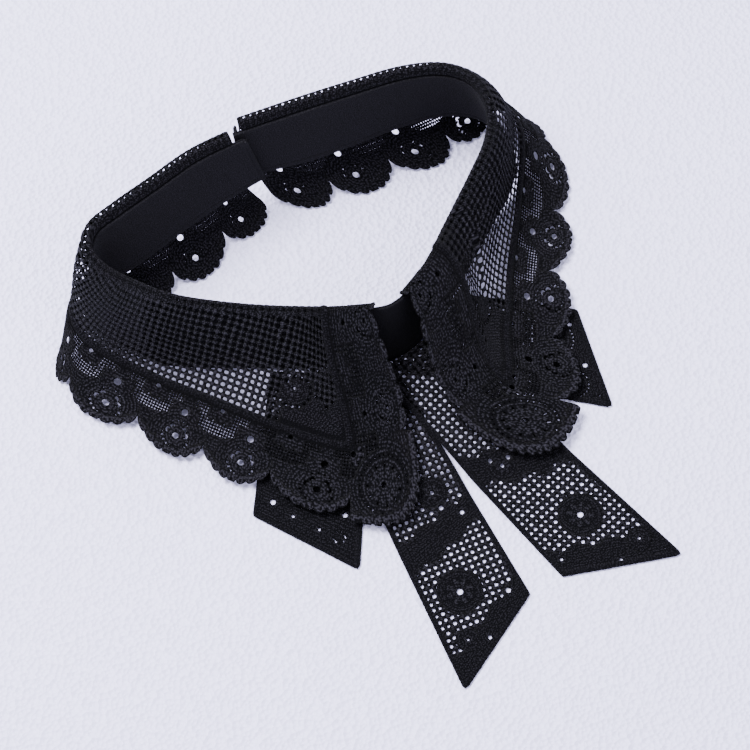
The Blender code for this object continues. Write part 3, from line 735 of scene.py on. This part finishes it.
# %% Cord along the seam
def tube(name, path, normals, half_width, half_height, twist, pitch, sides=8):
    """Closed tube along a path: an oval section across it, its size waved by the stitches."""
    run = run_along(path)
    along = unit(np.gradient(path, axis=0))
    up = unit(normals - along * np.sum(normals * along, -1, keepdims=True))
    across = np.cross(along, up)
    turn = 2 * math.pi * np.arange(sides) / sides
    wave = 1 + twist * np.sin(2 * math.pi * run[:, None] / pitch + turn[None])
    ring = (path[:, None] + (wave * half_width * np.cos(turn))[..., None] * across[:, None]
            + (wave * half_height * np.sin(turn))[..., None] * up[:, None])
    many = len(path)
    here = np.arange(many - 1)[:, None] * sides + np.arange(sides)[None]
    there = np.arange(many - 1)[:, None] * sides + (np.arange(sides)[None] + 1) % sides
    quads = np.stack([here, here + sides, there + sides, there], -1).reshape(-1, 4)
    faces = np.concatenate([quads[:, [0, 1, 2]], quads[:, [0, 2, 3]]])
    caps = np.arange(1, sides - 1)
    first = np.stack([np.zeros_like(caps), caps, caps + 1], 1)
    last = np.stack([np.zeros_like(caps), caps + 1, caps], 1) + (many - 1) * sides
    faces = np.concatenate([faces, first, last])
    plan = np.stack([np.repeat(run, sides), np.tile(turn, many)], 1)
    high = np.full(many * sides, TONE_AND_PAINTED_LIGHT["tube"])
    return mesh_object(name, ring.reshape(-1, 3), faces, plan, high, plan[:, 0])


CORD_SIZE = (1.4, 0.8)  # half its width and half its height
CORD_LIFT = 0.25        # its middle lies this far over the lace's
TURN_ROW = 0.08         # it rounds the corner within this much of a row
TURN_DOWN = 0.06        # and this share of the net's height


def make_cord(side):
    """Cord of one fall: along the hem seam, round the point and up to the top seam."""
    table, step = FALLS[side], 0.02
    hem = np.linspace(0.0, POINT_ROW - TURN_ROW, 700)
    turn = np.linspace(0.0, math.pi / 2, 12)[1:-1]
    rise = np.linspace(2.0 - TURN_DOWN, 0.05, 150)
    place = np.concatenate([hem, POINT_ROW - TURN_ROW + TURN_ROW * np.sin(turn),
                            np.full_like(rise, POINT_ROW)])
    down = np.concatenate([np.full_like(hem, 2.0), rise[0] + TURN_DOWN * np.cos(turn), rise])
    path = fall_point(table, place, down)
    along = fall_point(table, place + step, down) - fall_point(table, place - step, down)
    across = (fall_point(table, place, np.minimum(down + step, 3.0))
              - fall_point(table, place, down - step))
    normal = unit(np.cross(along, across)) * (1 if side == "left" else -1)
    return tube(f"cord_{side}_thread", path + CORD_LIFT * normal, normal, *CORD_SIZE, 0.05, ROWS)


cords = {side: make_cord(side) for side in FALLS}
print("cord triangles:", {side: len(c.data.polygons) for side, c in cords.items()})

# %% [markdown]
# ## The neck band
#
# The band is two layers of plain cloth. The lining shows all round the inside of the ring, with a
# rounded fold along its top and a narrow hem at its foot. It is a grid of the band's surface with
# a profile of heights across it, closed round its edges.


# %% Band cloth
BAND_TALL = 29.0
BAND_HEM = 2.2          # height of the hem at its foot


def wall(name, upper, lower, plan):
    """Closed wall between two grids of points of the same shape."""
    rows, columns = upper.shape[:2]
    a, b, c, d = (corner.ravel() for corner in cell_corners(rows, columns))
    faces = np.concatenate([np.stack([a, b, c], 1), np.stack([a, c, d], 1)])
    many = rows * columns
    rim = rim_edges(faces)
    walls = np.concatenate([np.stack([rim[:, 1], rim[:, 0], rim[:, 0] + many], 1),
                            np.stack([rim[:, 1], rim[:, 0] + many, rim[:, 1] + many], 1)])
    shell = np.concatenate([faces, faces[:, ::-1] + many, walls])
    points = np.concatenate([upper.reshape(-1, 3), lower.reshape(-1, 3)])
    flat = np.concatenate([plan.reshape(-1, 2)] * 2)
    high = np.full(2 * many, TONE_AND_PAINTED_LIGHT["wall"])
    return mesh_object(name, points, shell, flat, high, flat[:, 0])


def make_band(name, outward):
    """One layer of the band: outward is 1 for the outer cloth and -1 for the lining."""
    places = np.linspace(0.0, len(RING) - 1.0, 400)
    heights = np.concatenate([np.linspace(0.0, 0.12, 9, endpoint=False),
                              np.linspace(0.12, 0.95, 5, endpoint=False),
                              np.linspace(0.95, 1.0, 7)])
    place, height = np.meshgrid(places, heights, indexing="ij")
    foot, top = height * BAND_TALL, (1 - height) * BAND_TALL
    hem = 0.16 * np.clip((BAND_HEM - foot) / 0.3, 0, 1) - 0.10 * bump(foot - BAND_HEM - 0.1, 0.5)
    soft_top = -0.45 * (1 - bump(0.9 - top, 0.9)) * (top < 0.9)
    inner = SEAM_GAP / 2
    outer = inner + 0.75 * BAND_CLOTH + hem + soft_top
    front = band_point(place, height, outward * outer)
    back = band_point(place, height, np.full_like(place, outward * inner))
    run = np.broadcast_to(run_along(front[:, 10])[:, None], place.shape)
    plan = np.stack([run, foot], -1)
    upper, lower = (front, back) if outward > 0 else (back, front)
    return wall(name, lower, upper, plan)


band_outer = make_band("band_outer_cloth", 1)
band_lining = make_band("band_lining_cloth", -1)
print("band triangles:", len(band_outer.data.polygons), len(band_lining.data.polygons))

# %% [markdown]
# ## The ribbon ends
#
# Four strips of net with a slanted end lie flat on the table, one over another near the band.
# Their net runs square to their sides. Round both sides and the end goes a narrow bound edge,
# which is a flat tube.


# %% Shape of a ribbon
def ribbon_point(name, along, across):
    """Point on a ribbon's underside: along 0 at the band to 1 at the end, across 0 to 1."""
    start, stop, corner_a, corner_b, lift, leaves, rests = RIBBONS[name]
    along, across = np.broadcast_arrays(along, across)
    place = start + (stop - start) * across
    sewn = band_point(place, np.zeros_like(place), np.full_like(place, BAND_CLOTH + 3 * SEAM_GAP))
    end = (np.array([*corner_a, 0.0]) * (1 - across[..., None])
           + np.array([*corner_b, 0.0]) * across[..., None])
    flat = sewn * (1 - along[..., None]) + end * along[..., None]
    fade = np.clip((along - leaves) / (rests - leaves), 0.0, 1.0)
    flat[..., 2] = lift * (1 - fade * fade * (3 - 2 * fade))
    return flat


def ribbon_corners(name):
    """Corners of a ribbon: on its first and second side at the band, then at the end."""
    return ribbon_point(name, np.array([0.0, 0.0, 1.0, 1.0]), np.array([0.0, 1.0, 0.0, 1.0]))


def ribbon_plan(name, points):
    """Flat place on a ribbon, square to its first side: across it, and back from its end."""
    a, b, c, d = ribbon_corners(name)[:, :2]
    way = unit(c - a)
    square = np.array([-way[1], way[0]])
    square = square * np.sign(np.dot(d - c, square))
    from_end = points[..., :2] - c
    return np.stack([from_end @ square, -(from_end @ way)], -1)


# %% Openwork of the ribbons
# On the flat cut. kind: flower, ring of small holes or eyelet; x across
# from the first side and y back from the first end corner, in millimetres; size: its radius
RIBBON_WORK = {
    "tail_left": [("flower", 14.0, 34.5, 7.0), ("flower", 20.5, 73.0, 4.6), ("eyelet", 21.2, 66.5, 0.8),
                  ("eyelet", 27.5, 62.0, 0.8), ("eyelet", 30.0, 28.0, 0.9), ("ring", 9.0, 17.0, 3.6),
                  ("flower", 9.0, 17.0, 3.0), ("eyelet", 3.6, 22.0, 0.7), ("eyelet", 16.5, 14.6, 0.7)],
    "tail_right": [("flower", 21.0, 13.5, 7.0), ("flower", 12.0, 46.0, 4.6), ("eyelet", 9.6, 50.0, 0.8),
                   ("eyelet", 15.6, 47.0, 0.8), ("ring", 31.0, -7.0, 4.6), ("flower", 31.0, -7.0, 3.4),
                   ("eyelet", 20.5, -9.0, 0.6), ("ring", 36.2, -17.6, 1.6), ("eyelet", 4.2, 5.0, 0.6)],
    "wing_left": [("eyelet", 6.7, 5.4, 1.0), ("eyelet", 33.2, 2.7, 0.9), ("ring", 19.5, 12.0, 8.2),
                  ("flower", 19.5, 12.0, 6.2), ("ring", 32.0, -6.0, 2.2), ("flower", 9.0, 34.0, 5.0),
                  ("flower", 27.0, 34.0, 5.0), ("eyelet", 14.5, 0.6, 0.6), ("eyelet", 24.5, -3.6, 0.6)],
    "wing_right": [("eyelet", 15.1, 12.6, 0.9), ("flower", 6.6, 15.4, 4.4), ("ring", 6.6, 15.4, 5.6),
                   ("ring", 2.6, 5.2, 1.4), ("flower", 23.0, 26.0, 6.0), ("ring", 23.0, 26.0, 7.6),
                   ("eyelet", 30.5, 21.0, 0.8), ("flower", 17.0, 44.0, 5.0)],
}


WING_WORKED = 30.0      # a wing is worked this far from its end, and net beyond


def ribbon_pattern(name, x, y, from_end):
    """A tail is square net with a worked end and a worked band across it; a wing's end is worked.
    Flowers, rings of small holes and eyelets are then laid on from the table."""
    field, relief, rows = square_net(x, y, NET_PITCH * 0.96, 0.60)
    uneven = 0.09 * np.sin(x * 1.3 + 2.0 * np.sin(y * 0.8)) + 0.07 * np.sin(y * 1.9 - x * 0.4)
    pattern = field + uneven, relief, rows
    solid = worked(from_end)
    tail = name.startswith("tail")
    ripple = 1.4 * np.cos(x * 0.55)
    close = (from_end < 11.5 + ripple) | (np.abs(from_end - 52.5) < 6.5 + ripple)
    pattern = lay_on(pattern, solid, close if tail else from_end < WING_WORKED)
    for kind, cx, cy, size in RIBBON_WORK[name]:
        u, v = x - cx, y - cy
        near = np.hypot(u, v)
        if kind == "flower":
            pattern = lay_on(pattern, worked(near), near < size + 1.2)
            pattern = lay_on(pattern, flower(u, v, size), near < size)
        if kind == "ring":
            pattern = circle_of_holes(pattern, u, v, size, int(4.2 * size), 0.36)
        if kind == "eyelet":
            pattern = lay_on(pattern, solid, near < size + 1.0)
            pattern = eyelet(pattern, near, size)
    return pattern


# %% Make the ribbons and their edges
RIBBON_CELL = 0.6       # step of a ribbon's grid
RIBBON_MIDDLE = 0.45    # its lace lies this far over its underside
EDGING_MIDDLE = 0.62    # and its bound edge's middle this far
INSET = 0.026           # share of the width from a side to the middle of its bound edge
UP = np.array([0.0, 0.0, 1.0])


def make_ribbon(name):
    """Lace of one ribbon end, inside its bound edge."""
    a, b, c, d = ribbon_corners(name)
    long, wide = np.linalg.norm(c - a), np.linalg.norm(d - c)
    along, across = np.meshgrid(np.linspace(0, 1, int(long / RIBBON_CELL)),
                                np.linspace(0, 1, int(wide / RIBBON_CELL)), indexing="ij")
    points = ribbon_point(name, along, across) + RIBBON_MIDDLE * UP
    plan = ribbon_plan(name, points)
    slant = abs(np.dot(unit((c - a)[:2]), unit((d - c)[:2])))
    lean = math.sqrt(max(1e-3, 1 - slant ** 2))
    sides = np.minimum(across, 1 - across) * wide * lean
    inside = np.minimum(sides, (1 - along) * long * lean) - EDGING_WIDTH * 0.45
    from_end = (1 - along) * long
    field, relief, rows = ribbon_pattern(name, plan[..., 0], plan[..., 1], from_end)
    field = np.where(inside < 1.0, 2.0, field)
    normals = np.broadcast_to(UP, points.shape)
    return lace(f"{name}_lace", points, normals, plan, (np.minimum(field, inside), relief, rows))


def make_edging(name):
    """Bound edge of one ribbon end: down one side, across the end and up the other side."""
    side = np.linspace(0.0, 1.0, 180)
    end = np.linspace(0.0, 1.0, 60)[1:-1]
    stop = 1 - INSET / 3
    along = np.concatenate([side * stop, np.full_like(end, stop), side[::-1] * stop])
    across = np.concatenate([np.zeros_like(side), end, np.ones_like(side)])
    path = ribbon_point(name, along, INSET + across * (1 - 2 * INSET)) + EDGING_MIDDLE * UP
    up = np.broadcast_to(UP, path.shape)
    return tube(f"edging_{name}_bound", path, up, EDGING_WIDTH / 2, 0.5, 0.04, 1.1)


ribbons = {name: make_ribbon(name) for name in RIBBONS}
edgings = {name: make_edging(name) for name in RIBBONS}
print("ribbon triangles:", {name: len(r.data.polygons) for name, r in ribbons.items()})

# %% [markdown]
# ## Materials
#
# Black cotton isn't quite black, and its colour here is painted with light and shade: a near-black
# painted shade in the pits between stitches and a lighter painted highlight on their tops. That
# contrast, more than any hole, is what makes it look worked. One node group draws the stitches for
# every piece: cells on the flat cut stand for single stitches, and a wave across the attribute
# "rows" lines them up in the rows that each pattern gave. Each material places the group with its
# own stitch width and depth.


# %% Nodes in one call
def add(tree, kind, inputs, output=0, **settings):
    """Adds a node and gives one of its outputs. inputs are numbers or colours to set and sockets
    to link, by the input's name or number; settings are the node's own properties."""
    made = tree.nodes.new("ShaderNode" + kind)
    for name, value in settings.items():
        setattr(made, name, value)
    for name, value in inputs.items():
        if isinstance(value, bpy.types.NodeSocket):
            tree.links.new(value, made.inputs[name])
        else:
            made.inputs[name].default_value = value
    return made.outputs[output]


def sums(tree, operation, *values):
    """A math node on one to three numbers or sockets."""
    return add(tree, "Math", dict(enumerate(values)), operation=operation)


# %% Group of stitches
STITCH_SOCKETS = {
    "INPUT": {"Painted pit shade": "Color", "Top": "Color", "Stitches a mm": "Float", "Rows a mm": "Float",
              "Row share": "Float"},
    "OUTPUT": {"Color": "Color", "Roughness": "Float", "Height": "Float"},
}


def thread_group():
    """Node group: colour, roughness and height of stitches on the flat cut.

    A stitch is a cell, high in its middle; a row is a half wave; fine noise stands for fibres.
    The height, and how far the thread stands up, set the painted tone: a painted shade in the pits and a
    painted highlight on the tops.
    """
    tree = bpy.data.node_groups.new("stitches", "ShaderNodeTree")
    for way, sockets in STITCH_SOCKETS.items():
        for name, kind in sockets.items():
            tree.interface.new_socket(name=name, in_out=way, socket_type=f"NodeSocket{kind}")
    given = tree.nodes.new("NodeGroupInput").outputs
    result = tree.nodes.new("NodeGroupOutput").inputs
    cut = add(tree, "UVMap", {}, uv_map="cut")
    in_mm = add(tree, "VectorMath", {0: cut, "Scale": 100.0}, operation="SCALE")
    cell_size = {"Vector": in_mm, "Scale": given["Stitches a mm"], "Randomness": 0.8}
    cells = add(tree, "TexVoronoi", cell_size, "Distance", voronoi_dimensions="2D")
    fibres = add(tree, "TexNoise", {"Vector": in_mm, "Scale": 1.5, "Detail": 2.0})
    across = add(tree, "Attribute", {}, "Fac", attribute_name="rows")
    # painted light: the attribute raised lightens threads that stand higher, and the lace's shaded backs
    stands = add(tree, "Attribute", {}, "Fac", attribute_name="raised")
    stitch = sums(tree, "MULTIPLY_ADD", cells, -1.6, 1.0)
    turns = sums(tree, "MULTIPLY", across, given["Rows a mm"])
    wave = sums(tree, "COSINE", sums(tree, "MULTIPLY", turns, 2 * math.pi))
    row = sums(tree, "MULTIPLY_ADD", wave, 0.5, 0.5)
    mixed = add(tree, "Mix", {"Factor": given["Row share"], "A": stitch, "B": row})
    height = sums(tree, "ADD", mixed, sums(tree, "MULTIPLY", fibres, 0.9))
    risen = sums(tree, "ADD", height, sums(tree, "MULTIPLY", stands, 1.8))
    lit = add(tree, "MapRange", {"Value": risen, "From Min": 1.38, "From Max": 2.3})
    # painted shade and highlight: the base colour runs from the painted pit shade to the painted top
    # highlight as the stitch stands higher
    tone = add(tree, "Mix", {"Factor": lit, 6: given["Painted pit shade"], 7: given["Top"]}, 2, data_type="RGBA")
    rough = add(tree, "MapRange", {"Value": lit, "To Min": 0.9, "To Max": 0.68})
    for name, made in (("Color", tone), ("Roughness", rough), ("Height", height)):
        tree.links.new(made, result[name])
    return tree


stitches = thread_group()


# %% Materials of thread
def set_inputs(tree, values):
    """Sets or links inputs of a material's Principled shader, by name."""
    shader = tree.nodes["Principled BSDF"]
    for name, value in values.items():
        if isinstance(value, bpy.types.NodeSocket):
            tree.links.new(value, shader.inputs[name])
        else:
            shader.inputs[name].default_value = value


def thread_material(name, pit_shade, top, stitches_mm, rows_mm, row_share, deep):
    """Principled material whose colour, roughness and bump come from the stitches; the colour is
    painted shade in the pits and a painted highlight on the tops. deep is the height of the bump in
    millimetres."""
    paint = bpy.data.materials.new(name)
    paint.use_nodes = True
    tree = paint.node_tree
    values = {"Painted pit shade": (*pit_shade, 1), "Top": (*top, 1), "Stitches a mm": stitches_mm, "Rows a mm": rows_mm,
              "Row share": row_share}
    thread = add(tree, "Group", values, node_tree=stitches).node.outputs
    raised = add(tree, "Bump", {"Height": thread["Height"], "Strength": 1.0, "Distance": deep * MM})
    set_inputs(tree, {"Base Color": thread["Color"], "Roughness": thread["Roughness"], "Normal": raised,
                      "Sheen Weight": 0.015, "Sheen Roughness": 0.5, "Specular IOR Level": 0.04})
    return paint


# near-black painted shade for the pits of the lace, net, ribbon and cord threads
BLACK = (0.0008, 0.0008, 0.0012)
THREADS = {
    # name: painted pit shade, painted top highlight, stitches a mm, rows a mm, share of the rows, height
    # of the bump
    "lace": (BLACK, (0.026, 0.0247, 0.0320), 1.15, 0.87, 0.30, 0.55),
    "net": (BLACK, (0.028, 0.0268, 0.0340), 1.35, 0.87, 0.25, 0.45),
    "ribbon": (BLACK, (0.021, 0.0201, 0.0255), 1.35, 0.87, 0.25, 0.45),
    "cord": (BLACK, (0.019, 0.0182, 0.0230), 1.6, 0.87, 0.25, 0.20),
    "band": ((0.003, 0.0029, 0.0036), (0.015, 0.0144, 0.0180), 2.4, 1.9, 0.30, 0.08),
    "lining": ((0.005, 0.0048, 0.0058), (0.026, 0.0252, 0.0305), 2.2, 2.2, 0.30, 0.12),
}
threads = {name: thread_material(f"{name}_thread", *values) for name, values in THREADS.items()}
print("materials of thread:", list(threads))

# %% [markdown]
# ## Join the pieces to the collar
#
# Each piece takes the place of its solid and rides on the collar's one body.


# %% Dress the solids
def dress(piece, node, paint):
    """Gives a piece its thread and puts it in its solid's place."""
    piece.data.materials.append(threads[paint])
    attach(piece, "root")
    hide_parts(node)


for side in FALLS:
    dress(nets[side], f"net_{side}", "net")
    dress(borders[side], f"border_{side}", "lace")
    dress(cords[side], f"cord_{side}", "cord")
for name in RIBBONS:
    dress(ribbons[name], name, "ribbon")
    dress(edgings[name], f"edging_{name}", "cord")
    a, b, c, d = ribbon_corners(name)
dress(band_outer, "band_outer", "band")
dress(band_lining, "band_lining", "lining")
print("sheets declared:", 2 * len(FALLS) + len(RIBBONS) + 2)

# %% [markdown]
# ## Table, light and camera
#
# The collar lies on a pale table with a fine leathery grain. Two large soft lights and a bright
# room keep its shadows faint. The camera is a long lens, high over the front left.

# %% Stage
floor_mesh = bpy.data.meshes.new("table_top")
FLOOR = 3.0
floor_mesh.from_pydata([(-FLOOR, -FLOOR, 0), (FLOOR, -FLOOR, 0), (FLOOR, FLOOR, 0), (-FLOOR, FLOOR, 0)],
                       [], [(0, 1, 2, 3)])
floor = bpy.data.objects.new("table_top", floor_mesh)
floor.location.z = -0.0002
bpy.context.scene.collection.objects.link(floor)
floor_paint = bpy.data.materials.new("table_top")
floor_paint.use_nodes = True
tree = floor_paint.node_tree
where = add(tree, "TexCoord", {}, "Object")
grain = add(tree, "TexVoronoi", {"Vector": where, "Scale": 560.0}, "Distance")
grained = add(tree, "Bump", {"Height": grain, "Strength": 0.8, "Distance": 0.0012})
set_inputs(tree, {"Base Color": (0.76, 0.75, 1.0, 1), "Roughness": 0.6, "Normal": grained})
floor_mesh.materials.append(floor_paint)


def soft_light(name, place, size, power):
    """Square area light aimed at the middle of the collar, a little cool."""
    data = bpy.data.lights.new(name, "AREA")
    data.size = size
    data.energy = power
    data.color = (0.91, 0.90, 1.0)
    lamp = bpy.data.objects.new(name, data)
    lamp.location = place
    lamp.rotation_euler = (-Vector(place)).to_track_quat("-Z", "Y").to_euler()
    bpy.context.scene.collection.objects.link(lamp)


soft_light("window", (-0.35, 0.55, 1.3), 0.6, 67.0)
soft_light("fill", (0.7, -0.9, 1.2), 1.4, 9.0)
world = bpy.data.worlds.new("room")
world.use_nodes = True
world.node_tree.nodes["Background"].inputs["Color"].default_value = (0.85, 0.84, 1.0, 1)
world.node_tree.nodes["Background"].inputs["Strength"].default_value = 1.72
bpy.context.scene.world = world

AZIMUTH, ELEVATION, DISTANCE = math.radians(-40), math.radians(65), 1.0
TARGET = Vector((-CENTRE * MM).tolist())
back = Vector((math.sin(AZIMUTH) * math.cos(ELEVATION), -math.cos(AZIMUTH) * math.cos(ELEVATION),
               math.sin(ELEVATION)))
camera = bpy.data.cameras.new("photo")
camera.sensor_width = 36.0
camera.lens = 129.6
eye = bpy.data.objects.new("photo", camera)
eye.location = TARGET + back * DISTANCE
eye.rotation_euler = back.to_track_quat("Z", "Y").to_euler()
bpy.context.scene.collection.objects.link(eye)
bpy.context.scene.camera = eye
